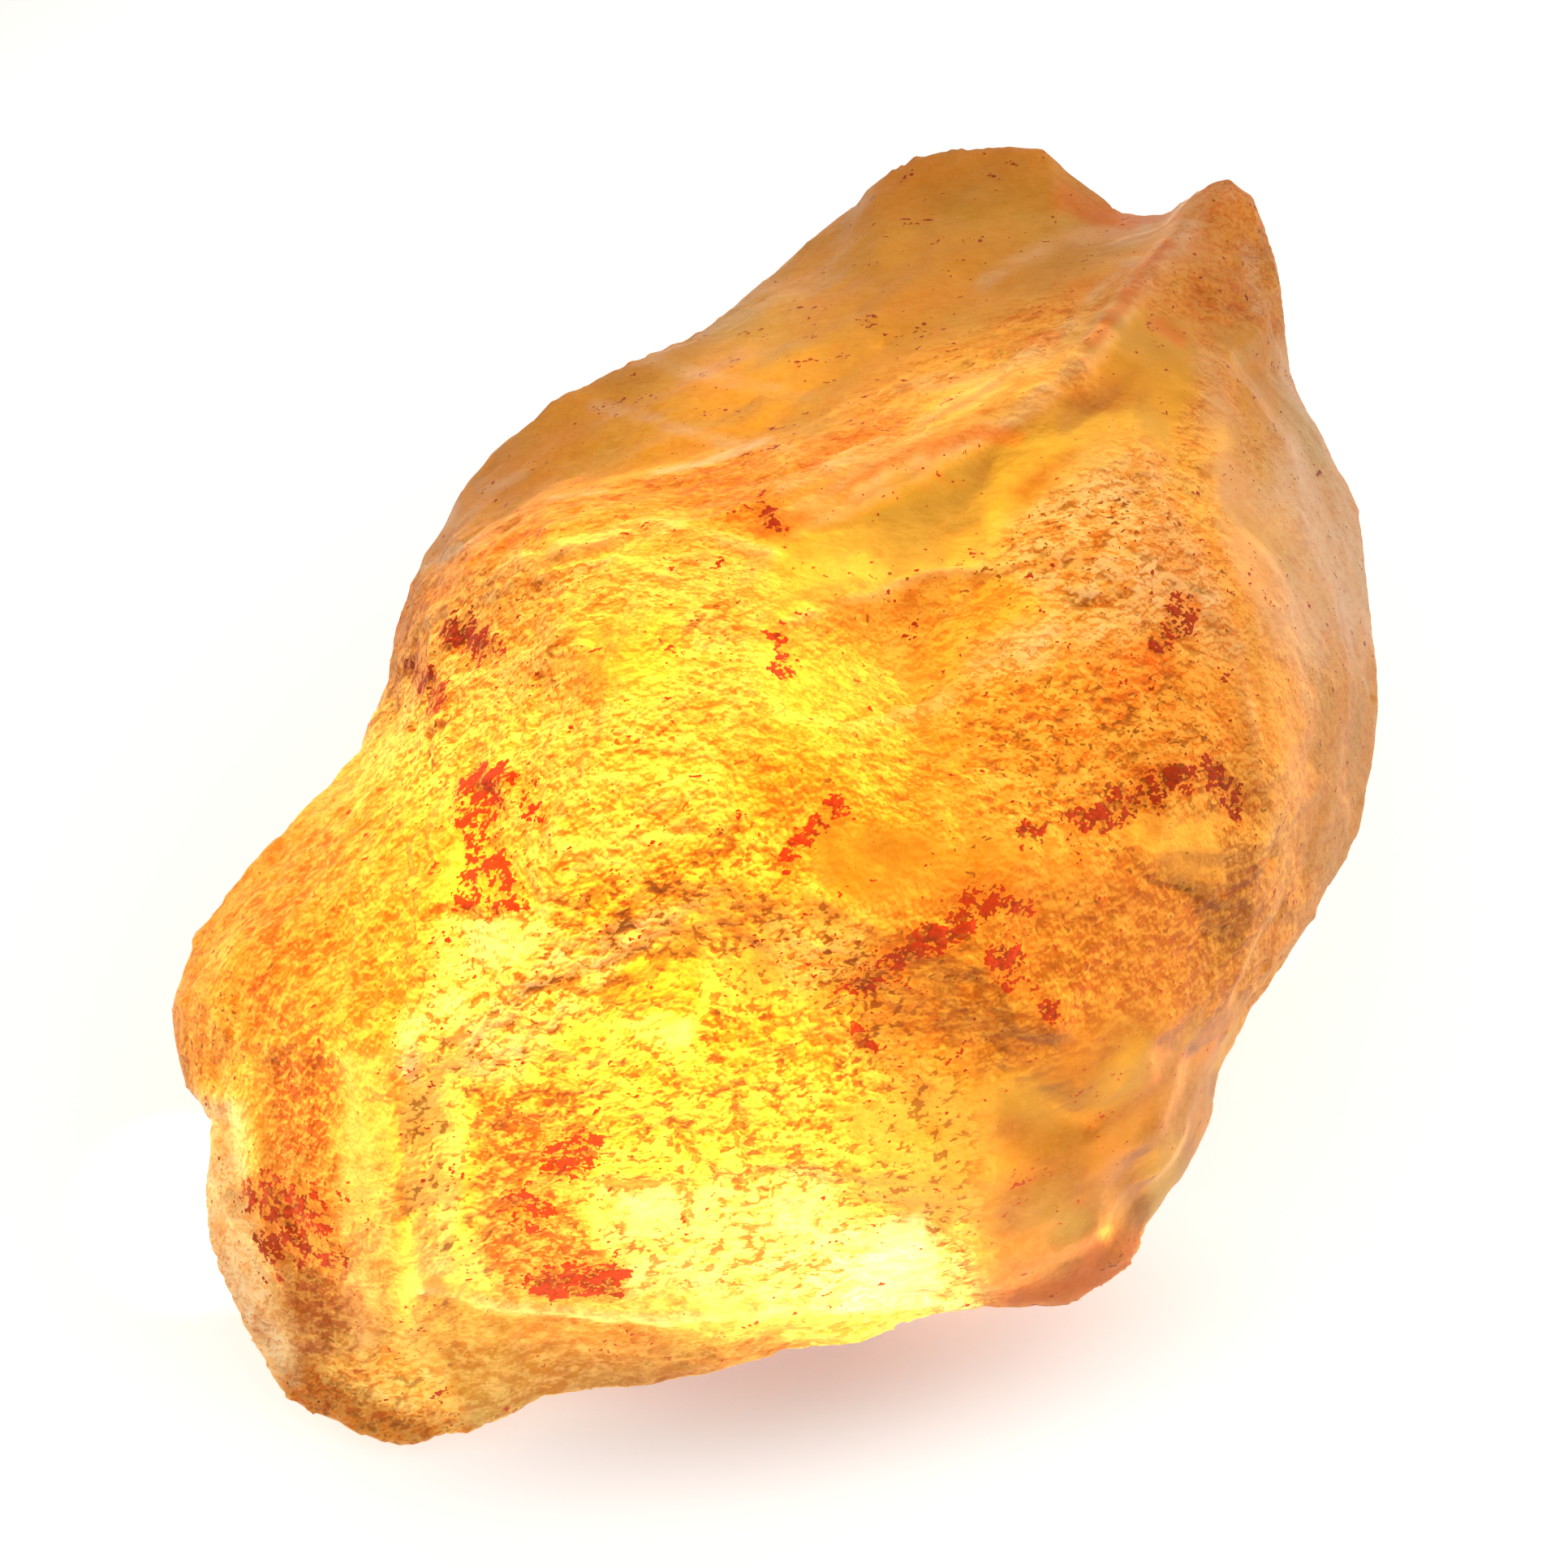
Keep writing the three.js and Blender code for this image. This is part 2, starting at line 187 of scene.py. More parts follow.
PALE_PEACH = (1.0, 0.78, 0.50)
BROWN = (0.16, 0.036, 0.006)
RUST = (0.90, 0.22, 0.03)
RED = (0.24, 0.0022, 0.0006)
DARK_RED = (0.10, 0.0012, 0.0004)
UMBER = (0.10, 0.009, 0.001)

# ---- places on the stone, as they show in the picture ----------------------------------------

# Each patch: its colour, how smooth it is from 0 to 1, how soft its edge is in pixels, and its
# outline. Later patches lie over earlier ones.
PATCHES = {
    "far_flank": (OLIVE_TAN, 0.9, 30, [
        (440, 740), (560, 668), (640, 640), (700, 600), (920, 550), (1050, 490), (1250, 390),
        (1440, 262), (1440, 120), (1100, 120), (860, 320), (690, 420), (540, 560)]),
    "far_flank_low": (MUSTARD, 0.8, 30, [
        (620, 560), (760, 470), (1010, 470), (1010, 540), (860, 570), (700, 590)]),
    "ridge_slope": (PEACH, 0.7, 25, [
        (1500, 225), (1540, 260), (1440, 340), (1340, 460), (1180, 570), (1000, 640), (960, 610),
        (1160, 520), (1320, 400), (1430, 290)]),
    "spike": (TAN, 0.4, 25, [
        (1470, 200), (1600, 200), (1640, 420), (1500, 420), (1440, 370), (1500, 280)]),
    "valley": (COPPER, 0.3, 16, [
        (470, 780), (560, 690), (680, 612), (800, 590), (950, 550), (970, 640), (820, 640),
        (680, 665), (570, 730)]),
    "mustard": (MUSTARD, 1.0, 14, [
        (1340, 430), (1370, 370), (1480, 400), (1475, 480), (1440, 560), (1400, 540), (1350, 520)]),
    "mustard_right": (MUSTARD, 0.9, 14, [(1495, 400), (1590, 420), (1590, 550), (1540, 530)]),
    "right_flank_top": (PALE_PEACH, 0.8, 40, [
        (1590, 440), (1800, 440), (1800, 840), (1560, 840), (1545, 700), (1500, 600), (1560, 580)]),
    "right_flank": (HONEY, 0.7, 60, [
        (1545, 820), (1800, 820), (1800, 1100), (1600, 1100), (1560, 960)]),
    "right_flank_low": (TAN, 0.6, 60, [
        (1560, 1060), (1800, 1060), (1700, 1350), (1480, 1350), (1500, 1200)]),
    "right_veil": (VEIL, 0.9, 20, [(1478, 440), (1500, 440), (1560, 640), (1590, 820), (1500, 640)]),
    "hump": (CREAM, 0.1, 40, [
        (1230, 580), (1320, 530), (1400, 560), (1490, 720), (1500, 800), (1330, 800), (1240, 720)]),
    "olive_band": (OLIVE, 0.9, 25, [
        (1000, 645), (1090, 590), (1180, 560), (1290, 520), (1290, 580), (1240, 640), (1200, 690),
        (1100, 700), (1010, 690)]),
    "olive_corner": (DEEP_HONEY, 0.9, 25, [
        (1200, 585), (1300, 510), (1390, 470), (1410, 505), (1315, 590), (1245, 645)]),
    "scar": (HONEY, 0.4, 25, [(960, 760), (1230, 700), (1310, 745), (1200, 850), (980, 890)]),
    # A painted highlight on the ridge.
    "painted_ridge_highlight": (CREAM, 0.3, 14, [
        (1190, 805), (1250, 765), (1300, 762), (1292, 820), (1230, 850), (1190, 862)]),
    "pale_top": (VEIL, 0.2, 16, [
        (1400, 645), (1440, 610), (1500, 720), (1530, 820), (1480, 760), (1440, 740)]),
    "lump": (LEMON, 0.1, 40, [
        (560, 720), (700, 680), (930, 690), (950, 880), (940, 1000), (760, 1090), (640, 1100),
        (560, 900)]),
    "lump_smooth": (OLIVE, 0.5, 30, [(700, 755), (830, 750), (860, 800), (800, 870), (720, 850)]),
    "left_shoulder": (LEMON, 0.0, 30, [(470, 800), (560, 760), (600, 900), (560, 1000), (450, 1000)]),
    "left_slope": (AMBER, 0.2, 40, [
        (280, 1120), (450, 960), (560, 1000), (560, 1230), (480, 1290), (300, 1290)]),
    "lobe": (TAN, 0.3, 20, [(180, 1140), (290, 1140), (310, 1300), (240, 1370), (180, 1300)]),
    "left_face": (END_ORANGE, 0.2, 20, [
        (320, 1290), (492, 1285), (492, 1560), (470, 1760), (380, 1760), (330, 1560)]),
    "end_strip": (CLAY, 0.5, 12, [(420, 1300), (488, 1300), (486, 1520), (450, 1700), (420, 1600)]),
    "left_margin": (CREAM, 0.4, 12, [
        (220, 1340), (295, 1360), (330, 1560), (365, 1720), (300, 1800), (200, 1500)]),
    "left_foot": (ORANGE, 0.1, 20, [(330, 1700), (470, 1660), (600, 1700), (560, 1850), (340, 1850)]),
    "middle": (COPPER, 0.2, 60, [(880, 900), (1180, 900), (1180, 1060), (900, 1060)]),
    "smooth_olive": (DARK_GOLD, 0.85, 20, [
        (1000, 1025), (1090, 1010), (1150, 1030), (1110, 1100), (1030, 1110)]),
    "shoulder": (HONEY, 0.0, 50, [(1180, 840), (1450, 800), (1540, 960), (1500, 1080), (1200, 1020)]),
    "orange_blush": (RUST, 0.0, 25, [(1340, 805), (1440, 785), (1440, 850), (1360, 870)]),
    "plateau": (CARAMEL, 0.3, 50, [
        (1010, 1180), (1120, 1090), (1250, 1060), (1560, 1060), (1560, 1260), (1480, 1330),
        (1210, 1330), (1100, 1290)]),
    "gold_patch": (HONEY, 0.8, 12, [(1375, 1010), (1500, 1000), (1500, 1080), (1450, 1095)]),
    "corner": (DEEP_HONEY, 0.95, 45, [
        (1212, 1335), (1370, 1260), (1540, 1240), (1540, 1450), (1420, 1560), (1212, 1560)]),
    "corner_foot": (AMBER, 0.9, 25, [
        (1212, 1540), (1420, 1520), (1540, 1400), (1560, 1500), (1440, 1680), (1212, 1680)]),
    "bevel": (CARAMEL, 0.5, 14, [
        (520, 1600), (860, 1622), (1205, 1612), (1205, 1690), (900, 1760), (600, 1820)]),
    # The glow patches and the white glow cores paint the light that glows up through the stone into its
    # colour: painted glow.
    "glow_corner": (CREAM, 0.2, 25, [
        (555, 1128), (700, 1100), (790, 1110), (850, 1080), (900, 1080), (800, 1190), (700, 1260),
        (640, 1340), (560, 1320), (495, 1290), (510, 1230)]),
    "glow_strip": (LEMON, 0.6, 8, [
        (493, 1285), (575, 1270), (572, 1400), (552, 1570), (515, 1575), (497, 1450)]),
    "glow_middle": (HONEY, 0.2, 30, [
        (660, 1300), (760, 1250), (960, 1240), (1080, 1180), (1080, 1300), (1180, 1350),
        (1100, 1400), (1000, 1450), (740, 1455), (700, 1400)]),
    "glow_front": (STRAW, 0.3, 20, [
        (735, 1455), (1000, 1445), (1060, 1500), (1200, 1540), (1208, 1585), (1100, 1598),
        (980, 1604), (760, 1590)]),
    "glow_facet": (CREAM, 0.6, 8, [(765, 1253), (855, 1256), (850, 1293), (790, 1292)]),
    "gold_facet": (GOLD, 0.5, 8, [(640, 1345), (700, 1262), (770, 1256), (785, 1300), (700, 1330)]),
    "dark_step": (HONEY, 0.1, 16, [
        (690, 1095), (800, 1060), (960, 1010), (965, 1060), (880, 1110), (760, 1150), (690, 1150)]),
    "glow_core_left": (WHITE, 0.4, 12, [(580, 1138), (640, 1130), (648, 1182), (600, 1192)]),
    "glow_core_strip": (WHITE, 0.4, 10, [(533, 1225), (577, 1222), (574, 1254), (540, 1252)]),
    "glow_core_edge": (WHITE, 0.4, 10, [(494, 1262), (522, 1252), (514, 1330), (493, 1322)]),
    "glow_core_front": (WHITE, 0.6, 20, [(765, 1465), (829, 1456), (836, 1506), (780, 1517)]),
    "glow_core_middle": (WHITE, 0.6, 10, [(953, 1485), (1000, 1479), (996, 1517), (960, 1519)]),
    "glow_core_right": (WHITE, 0.8, 25, [(1062, 1510), (1135, 1500), (1155, 1590), (1070, 1600)]),
    "yellow_crumb": (LEMON, 0.0, 25, [(940, 1120), (1080, 1130), (1090, 1200), (960, 1215)]),
    "wedge": (DARK_GOLD, 0.7, 8, [(715, 1232), (781, 1185), (862, 1155), (864, 1240), (790, 1243)]),
    "gold_crumbs": (ORANGE, 0.1, 14, [
        (870, 1250), (960, 1240), (1050, 1290), (1040, 1340), (930, 1330), (860, 1310)]),
    "amber_pocket": (DEEP_ORANGE, 0.1, 16, [
        (585, 1340), (700, 1330), (735, 1400), (725, 1500), (770, 1590), (620, 1600), (580, 1500)]),
    "front_wedge": (HONEY, 0.7, 12, [
        (1035, 1365), (1110, 1345), (1200, 1340), (1206, 1535), (1130, 1495), (1050, 1460)]),
}
# How milky some of the patches are: they let less light through and scatter more of it.
MILKY = {
    # The glow cores are milky too, so that their painted glow reads white.
    "glow_core_left": 0.5, "glow_core_strip": 0.5, "glow_core_edge": 0.4, "glow_core_front": 0.5, "glow_core_middle": 0.5,
    "glow_core_right": 0.5, "glow_corner": 0.25, "glow_front": 0.3, "glow_strip": 0.1,
    "painted_ridge_highlight": 0.4, "pale_top": 0.3, "left_margin": 0.5, "end_strip": 0.4, "lobe": 0.3,
    "right_flank_top": 0.6, "lump": 0.15, "hump": 0.15,
}

RED_PATCH = [
    (560, 950), (600, 936), (628, 985), (602, 1025), (625, 1062), (655, 1118), (610, 1130),
    (545, 1128), (572, 1060), (555, 1000)]

# Strokes: a line of places and half the width of the stroke, both in pixels.
STAINS = [
    ([(610, 945), (655, 975), (665, 1005)], 22),
    ([(1250, 1015), (1300, 1003)], 14),
    ([(1325, 1008), (1365, 995), (1410, 975), (1450, 960)], 34),
    ([(1490, 930), (1520, 980)], 24),
    ([(1465, 750), (1430, 790)], 30),
    ([(1030, 995), (1005, 1030)], 26),
    ([(985, 1045), (962, 1075)], 20),
    ([(1040, 1212), (1100, 1190), (1160, 1150), (1220, 1110)], 28),
    ([(1200, 1100), (1250, 1110)], 26),
    ([(1235, 1180), (1260, 1210), (1290, 1240)], 30),
    ([(330, 1470), (370, 1500), (400, 1540)], 44),
    ([(340, 1530), (350, 1560)], 30),
    ([(690, 1425), (725, 1400)], 40),
    ([(640, 1480), (665, 1500)], 34),
    ([(680, 1575), (745, 1580)], 36),
    ([(1060, 1260), (1070, 1290)], 20),
    ([(960, 770), (972, 830)], 18),
    ([(510, 830), (535, 862)], 26),
    ([(560, 780), (595, 800)], 34),
    ([(945, 620), (952, 640)], 18),
]
BLUSHES = [
    ([(1310, 246), (1345, 262), (1385, 268), (1440, 258)], 24),
    ([(985, 576), (1047, 540), (1106, 512)], 16),
    ([(1150, 556), (1200, 532), (1250, 538)], 18),
    ([(1040, 600), (1120, 560), (1170, 520), (1262, 462)], 10),
    ([(1268, 424), (1298, 412)], 16),
    ([(1345, 425), (1400, 350), (1440, 300)], 12),
    ([(1420, 400), (1450, 420)], 18),
    ([(930, 650), (985, 640)], 20),
]
ORE = [
    ([(850, 1080), (890, 1030), (950, 1000)], 40),
    ([(500, 830), (530, 880)], 34),
    ([(610, 960), (640, 1040)], 40),
    ([(1200, 1030), (1320, 1010), (1450, 960)], 60),
    ([(1040, 1220), (1200, 1150), (1320, 1150), (1440, 1130)], 60),
    ([(340, 1460), (390, 1530)], 24),
    ([(1200, 720), (1330, 620), (1430, 640)], 30),
    ([(1250, 900), (1420, 880)], 90),
    ([(960, 700), (1080, 720), (1180, 690)], 30),
    ([(640, 1350), (740, 1340), (700, 1480)], 50),
    ([(250, 1200), (290, 1330)], 40),
]
# Crests: raised ridges, each with a painted highlight along it.
CRESTS_AND_PAINTED_HIGHLIGHTS = [
    ([(1505, 235), (1420, 330), (1330, 450)], 22),
    ([(1330, 450), (1150, 560), (950, 640)], 12),
    ([(1300, 485), (1130, 590), (970, 660)], 10),
    ([(1280, 425), (1110, 535), (960, 600)], 10),
    ([(1410, 580), (1450, 650), (1480, 720), (1520, 800), (1540, 880), (1548, 960)], 14),
    ([(530, 760), (600, 715), (700, 675), (800, 655), (900, 665), (950, 685)], 13),
    ([(560, 745), (640, 720), (760, 690)], 9),
    ([(960, 880), (1050, 897), (1130, 880), (1200, 840), (1300, 765)], 14),
    ([(960, 770), (1060, 735), (1170, 705), (1240, 700)], 9),
    ([(265, 1370), (270, 1450), (300, 1500), (350, 1570), (365, 1700)], 12),
    ([(520, 1590), (640, 1612), (800, 1625), (1000, 1612), (1200, 1606)], 9),
]
VEILS = [
    ([(740, 440), (860, 462), (998, 489)], 14),
    ([(733, 497), (810, 515), (885, 541), (982, 561)], 13),
    ([(548, 641), (570, 615), (588, 593)], 14),
    ([(600, 605), (645, 583)], 12),
    ([(1215, 348), (1250, 322), (1300, 298), (1410, 282)], 16),
    ([(1110, 484), (1224, 458), (1283, 436)], 14),
    ([(985, 640), (1100, 590), (1200, 545), (1295, 470)], 10),
    ([(1000, 612), (1120, 552), (1250, 468), (1330, 400)], 9),
    ([(1010, 585), (1090, 556), (1180, 500), (1290, 420), (1400, 320)], 9),
    ([(960, 606), (1040, 568), (1110, 520)], 8),
    ([(1480, 260), (1420, 330), (1340, 420)], 14),
    ([(1530, 300), (1550, 380)], 16),
    ([(1590, 560), (1610, 700), (1620, 860)], 26),
    ([(1650, 620), (1665, 800)], 14),
]
# Painted glints: thin bright lines where light catches an edge.
PAINTED_GLINTS = [
    ([(522, 698), (560, 678), (587, 664)], 9),
    ([(800, 584), (860, 570), (947, 543)], 9),
    ([(680, 612), (740, 600)], 6),
]
CRACKED_SOFTNESS = 20
CRACKED = [                             # where fine cracks and dark crumbs cover the glow
    (500, 1130), (700, 1090), (950, 1020), (1100, 1190), (1200, 1340), (1205, 1600), (760, 1600),
    (570, 1590), (495, 1500), (493, 1280)]
CRACKS = [
    ([(838, 1092), (870, 1060), (905, 1040)], 8),
    ([(868, 1088), (905, 1065), (945, 1030)], 8),
    ([(885, 1042), (920, 1015), (955, 1000)], 9),
    ([(1210, 790), (1130, 860), (1020, 890)], 5),
    ([(740, 1455), (780, 1462), (830, 1456), (880, 1462), (950, 1450), (1000, 1457)], 13),
    ([(830, 1380), (850, 1420), (870, 1455)], 10),
    ([(905, 1350), (905, 1400), (918, 1445)], 10),
    ([(850, 1460), (846, 1500), (860, 1520)], 10),
    ([(650, 1225), (720, 1205), (790, 1180)], 11),
    ([(690, 1215), (750, 1240), (780, 1268), (800, 1305)], 11),
    ([(880, 1250), (905, 1282), (940, 1300)], 11),
    ([(540, 1128), (600, 1130), (655, 1126)], 11),
    ([(1370, 1040), (1400, 1075), (1440, 1095), (1480, 1100)], 8),
    ([(500, 1500), (525, 1480), (560, 1490)], 6),
]


def distance_to(pixels, line):
    """Distance in pixels from each place to a line of straight stretches."""
    nearest = np.full(len(pixels), 1e6)
    for start, end in zip(line, line[1:]):
        start, end = np.array(start, float), np.array(end, float)
        run = end - start
        along = np.clip((pixels - start) @ run / (run @ run), 0, 1)
        nearest = np.minimum(nearest, np.linalg.norm(pixels - start - along[:, None] * run, axis=1))
    return nearest


def inside(pixels, outline, softness):
    """1 inside a closed outline and 0 outside it, with a soft edge."""
    x, y = pixels.T
    within = np.zeros(len(pixels), bool)
    for (ax, ay), (bx, by) in zip(outline, outline[1:] + outline[:1]):
        if ay != by:
            within ^= ((ay > y) != (by > y)) & (x < ax + (y - ay) / (by - ay) * (bx - ax))
    edge = distance_to(pixels, outline + outline[:1])
    return smoothstep(np.where(within, edge, -edge), -softness, softness)


def drawn(pixels, strokes):
    """1 along the middle of any stroke, falling to 0 at its half width."""
    return np.max([1 - smoothstep(distance_to(pixels, line), 0.25 * width, width)
                   for line, width in strokes], axis=0)


def blend(amount, first, second):
    return first + amount[:, None] * (np.array(second) - first)


# ---- the weathered surface ------------------------------------------------------------------

VOXEL = 0.090                           # edge of the fine mesh
SOLE_MARGIN = 0.5                       # below this height the relief dies out
GRAIN_RIGHT = math.radians(24)          # the way the grain runs across the picture, from level
GRAIN_END = math.radians(97)            # the same on the broken end
GRAIN_STRETCH = 1.4
BROKEN_END = [
    (200, 1310), (320, 1290), (575, 1270), (560, 1400), (545, 1600), (470, 1760), (300, 1850)]
MARK_SOFTNESS = 8                       # pixels, the edge of the broken end and the red patch

# What is drawn is pushed about in the picture, so that no edge is clean: by wide bends, and by
# small nicks. Each pair below is how many pixels of the first and of the second.
BEND_SIZE = 0.9
NICK_SIZE = 0.25
LINES_PUSHED = (5, 4)
VEILS_PUSHED = (9, 0)
BLUSHES_PUSHED = (7, 5)
STAINS_PUSHED = (12, 16)
RED_PATCH_PUSHED = (0, 5)
PATCH_PUSHED = (0.7, 0.35)              # for a patch, so many times its softness
MOST_SOFT = 25                          # but no more than for this softness

FACING = (0.02, 0.25)                   # where a face turns towards the camera: cosines
BROKEN = (-0.5, 0.2)                    # the noise that breaks up the lines
CLOUDY = (0.0, 0.6)                     # and the one that clouds the smooth patches
MOTTLE_OCTAVES = ((0.5, 0.0, 1.0), (0.25, 3.0, 0.65), (0.125, 6.0, 0.42))  # size, start, weight
MOTTLE_DEPTH = 0.10
MOTTLE_REACH = 0.09                     # how far up the mottle is compared with itself, for its painted lit and shaded sides

SWELL_SIZE = 1.6
SWELL_HEIGHT = 0.04
CRUMB_SIZES = (0.4, 0.2)
CRUMB_HEIGHT = 0.020
LARGE_FLAKE = 0.62
LARGE_FLAKE_HEIGHT = 0.035
SMALL_FLAKE = 0.30
SMALL_FLAKE_HEIGHT = 0.025
FLAKE_SHAKE = 0.05                      # how far noise bends the small flakes' edges
PIT_SPACING = 0.42
PIT_RIM = (0.08, 0.34)                  # from its flat bottom to its rim, in spacings
PIT_DEPTH = 0.08
PITS_LEFT_OUT = 0.6                     # the share of places without a pit
CREST_HEIGHT = 0.05
CRACK_DEPTH = 0.06


def fine_copy(source):
    """The CAD solid's surface again, in mm, as an even mesh fine enough to carve."""
    mesh = source.data.copy()
    coordinates = np.empty(len(mesh.vertices) * 3)
    mesh.vertices.foreach_get("co", coordinates)
    mesh.vertices.foreach_set("co", coordinates / MM)
    carrier = bpy.data.objects.new("carrier", mesh)
    bpy.context.scene.collection.objects.link(carrier)
    remesh = carrier.modifiers.new("even", "REMESH")
    remesh.mode = "VOXEL"
    remesh.voxel_size = VOXEL
    remesh.use_smooth_shade = True
    evaluated = carrier.evaluated_get(bpy.context.evaluated_depsgraph_get())
    fine = bpy.data.meshes.new_from_object(evaluated)
    bpy.data.objects.remove(carrier)
    return fine


def vertex_values(mesh, name):
    values = np.empty(len(mesh.vertices) * 3)
    if name == "normal":
        mesh.vertex_normals.foreach_get("vector", values)
    else:
        mesh.vertices.foreach_get("co", values)
    return values.reshape(-1, 3)


def grained(points, angle):
    """Points squeezed along a direction of the picture, so that noise on them is drawn out."""
    along = math.cos(angle) * VIEW_RIGHT + math.sin(angle) * VIEW_UP
    return points - (points @ along)[:, None] * along * (1 - 1 / GRAIN_STRETCH)


def mottled(points):
    """Blotches about half a millimetre across, around a middle value of 0.5."""
    total = sum(weight * noise(points, size, start) for size, start, weight in MOTTLE_OCTAVES)
    return 0.5 + MOTTLE_DEPTH * total


class Surface:
    """What the skin is like at each point: its colour, smoothness, stains, ore and grain, and its
    painted light and shade.
    """

    def __init__(self, points, normals):
        self.pixels = to_pixels(points)
        self.bends = np.stack([noise(points, BEND_SIZE, 3.1), noise(points, BEND_SIZE, 8.7)], axis=1)
        self.nicks = np.stack([noise(points, NICK_SIZE, 1.3), noise(points, NICK_SIZE, 5.9)], axis=1)
        self.seen = smoothstep(normals @ VIEW_BACK, *FACING)
        self.paint_hidden_side(points)
        self.paint_patches()
        self.draw_lines(points)
        self.spread_iron(points)
        self.at_end = self.seen * inside(self.pushed(STAINS_PUSHED), BROKEN_END, MARK_SOFTNESS)
        self.grain = grained(points, GRAIN_RIGHT)
        self.mottle = mottled(self.grain)
        # Painted light and shade: where the mottle differs from itself a little higher up the picture,
        # the shader paints a lit or shaded side.
        self.slope = self.mottle - mottled(self.grain + MOTTLE_REACH * VIEW_UP)

    def pushed(self, amounts, scale=1):
        """The points' places in the picture, pushed about by bends and nicks."""
        return self.pixels + scale * (amounts[0] * self.bends + amounts[1] * self.nicks)

    def paint_hidden_side(self, points):
        """Large soft patches of the same kinds, for the sides that the picture doesn't show."""
        self.tint = blend(smoothstep(noise(points, 2.4, 4.0), -0.1, 0.4), HONEY, GOLD)
        self.tint = blend(smoothstep(noise(points, 3.0, 1.0), 0.1, 0.5), self.tint, TAN)
        self.tint = blend(smoothstep(noise(points, 2.0, 9.0), 0.2, 0.6), self.tint, ORANGE)
        self.smooth = 0.35 + 0.55 * smoothstep(noise(points, 3.0), -0.1, 0.3)

    def paint_patches(self):
        self.milky = np.zeros(len(self.pixels))
        for name, (tint, smooth, softness, outline) in PATCHES.items():
            near = self.pushed(PATCH_PUSHED, min(softness, MOST_SOFT))
            cover = self.seen * inside(near, outline, softness)
            self.tint = blend(cover, self.tint, tint)
            self.smooth += cover * (smooth - self.smooth)
            self.milky += cover * (MILKY.get(name, 0.0) - self.milky)

    def draw_lines(self, points):
        """Crests with a painted highlight, cracks, veils and painted glints, and soft clouds in the
        smooth patches.
        """
        near = self.pushed(LINES_PUSHED)
        broken = smoothstep(noise(points, 0.45, 2.2), *BROKEN)
        self.crest_and_painted_highlight = self.seen * drawn(near, CRESTS_AND_PAINTED_HIGHLIGHTS) * (0.35 + 0.65 * broken)
        self.crack = self.seen * drawn(near, CRACKS) * (0.4 + 0.6 * broken)
        self.cracked = self.seen * inside(near, CRACKED, CRACKED_SOFTNESS)
        veil = self.seen * drawn(self.pushed(VEILS_PUSHED), VEILS) * (0.4 + 0.6 * broken)
        painted_glint = self.seen * drawn(near, PAINTED_GLINTS)
        blush = self.seen * drawn(self.pushed(BLUSHES_PUSHED), BLUSHES)
        cloud = self.seen * self.smooth * noise(points, 1.1, 5.5)
        self.milky = np.max([self.milky, 0.35 * veil, 0.1 * self.crest_and_painted_highlight, 0.5 * painted_glint], axis=0)
        # Crests and glints get a painted highlight in cream.
        for amount, tint in ((0.5 * smoothstep(cloud, *CLOUDY), OLIVE),
                             (0.4 * smoothstep(-cloud, *CLOUDY), ORANGE),
                             (0.75 * veil, VEIL), (0.6 * self.crest_and_painted_highlight, CREAM), (painted_glint, CREAM),
                             (0.7 * blush, RUST)):
            self.tint = blend(amount, self.tint, tint)

    def spread_iron(self, points):
        """How strongly each point is stained, and how thick the specks of ore are."""
        near = self.pushed(STAINS_PUSHED)
        red_patch = inside(self.pushed(RED_PATCH_PUSHED), RED_PATCH, MARK_SOFTNESS)
        self.stain = (self.seen * np.maximum(drawn(near, STAINS), red_patch)
                      + (1 - self.seen) * smoothstep(noise(points, 1.3, 6.0), 0.45, 0.8))
        self.ore = (self.seen * drawn(near, ORE)
                    + 0.6 * (1 - self.seen) * smoothstep(noise(points, 1.6, 7.0), 0.1, 0.7))


def carve(points, surface):
    """How far each point moves outwards, in mm. Adds the flakes and their edges to the surface."""
    rough = 1 - 0.85 * surface.smooth
    swell = SWELL_HEIGHT * noise(points, SWELL_SIZE, 2.0)
    large_crumb, small_crumb = CRUMB_SIZES
    crumb = CRUMB_HEIGHT * noise(points, large_crumb) + CRUMB_HEIGHT * noise(points, small_crumb, 7.0)
    at_end = surface.at_end[:, None] > 0.5
    grain = np.where(at_end, grained(points, GRAIN_END), surface.grain)
    large, large_edge = flakes(grain, LARGE_FLAKE)
    shaken = grain + FLAKE_SHAKE * noise(points, 0.3)[:, None]
    small, small_edge = flakes(shaken, SMALL_FLAKE, 4.0)
    nearest, number = cells(points, PIT_SPACING)
    pits = -PIT_DEPTH * (1 - smoothstep(nearest, *PIT_RIM)) * (number > PITS_LEFT_OUT)
    relief = swell + rough * (crumb + LARGE_FLAKE_HEIGHT * large + SMALL_FLAKE_HEIGHT * small + pits)
    relief += CREST_HEIGHT * surface.crest_and_painted_highlight - CRACK_DEPTH * surface.crack
    surface.edge = rough * np.maximum(0.8 * large_edge, 0.7 * small_edge)
    surface.flake = small
    return relief * smoothstep(points[:, 2], 0.0, SOLE_MARGIN)


